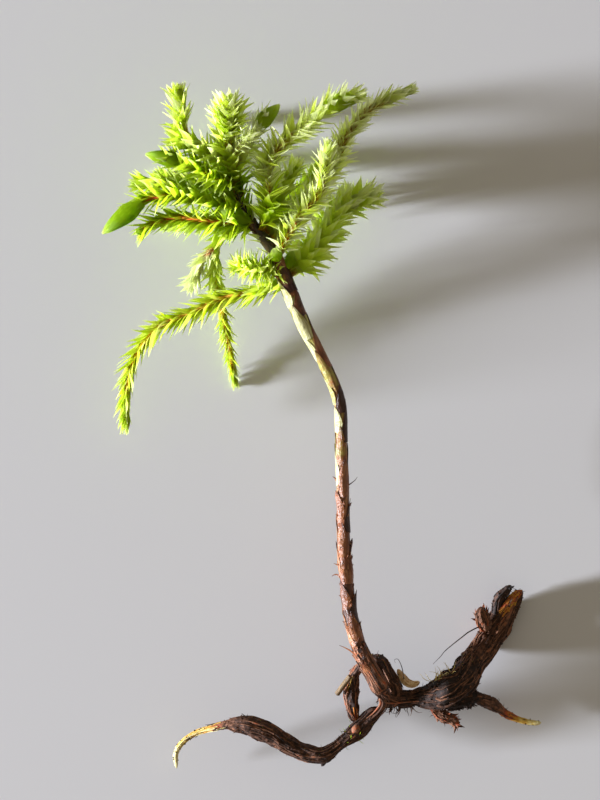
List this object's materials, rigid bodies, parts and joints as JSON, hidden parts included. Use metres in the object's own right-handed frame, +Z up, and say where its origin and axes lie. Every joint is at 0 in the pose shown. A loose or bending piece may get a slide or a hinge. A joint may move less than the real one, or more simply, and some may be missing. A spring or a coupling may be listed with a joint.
{
  "type": "tree moss plant",
  "caption": "Single picked tree moss plant lying on its side: palm-like leafy crown, bare scaly stem and a dark rhizome with runners.",
  "frame": {"origin": "on the surface under the centre of the plant's bounding box", "axes": "+Y from the rhizome to the crown's tips, +Z up from the surface, +X to the right as seen from above"},
  "size_m": [0.0436, 0.068, 0.0175],
  "materials": {
    "leaf_bright": "moist translucent yellow-green leaf",
    "leaf_mid": "moist translucent mid-green leaf",
    "leaf_dark": "moist translucent deep green leaf",
    "stem": "glossy papery scale leaves, cream-green above and red-brown below",
    "rhizome": "matte dark brown, soil-clad and fibrous",
    "root_tip": "satin yellow to red-brown root skin",
    "straw": "dull dry straw and bark"
  },
  "bodies": {
    "root": {"stem": "stem", "branch_long_drooping": "leaf_mid", "branch_hanging": "leaf_bright", "branch_pale_tuft": "leaf_bright", "branch_pale_blade": "leaf_bright", "branch_left_lower": "leaf_mid", "branch_left_bud": "leaf_mid", "branch_left_upper": "leaf_mid", "branch_pointed_bud": "leaf_dark", "branch_top_left": "leaf_bright", "leader_shoot": "leaf_bright", "branch_small_bright": "leaf_bright", "branch_dark_bud": "leaf_dark", "branch_top_middle": "leaf_mid", "branch_right_front": "leaf_bright", "branch_right_long": "leaf_mid", "branch_right_broad": "leaf_dark", "branch_inner": "leaf_dark", "branch_under_right": "leaf_dark", "branch_under_left": "leaf_dark", "branch_under_top": "leaf_dark", "branch_under_back": "leaf_dark", "rhizome": "rhizome", "left_runner": "rhizome", "side_root": "root_tip", "hanging_root": "rhizome", "root_strand": "rhizome", "straw_bit": "straw", "bark_bit": "straw"}
  },
  "joints": []
}
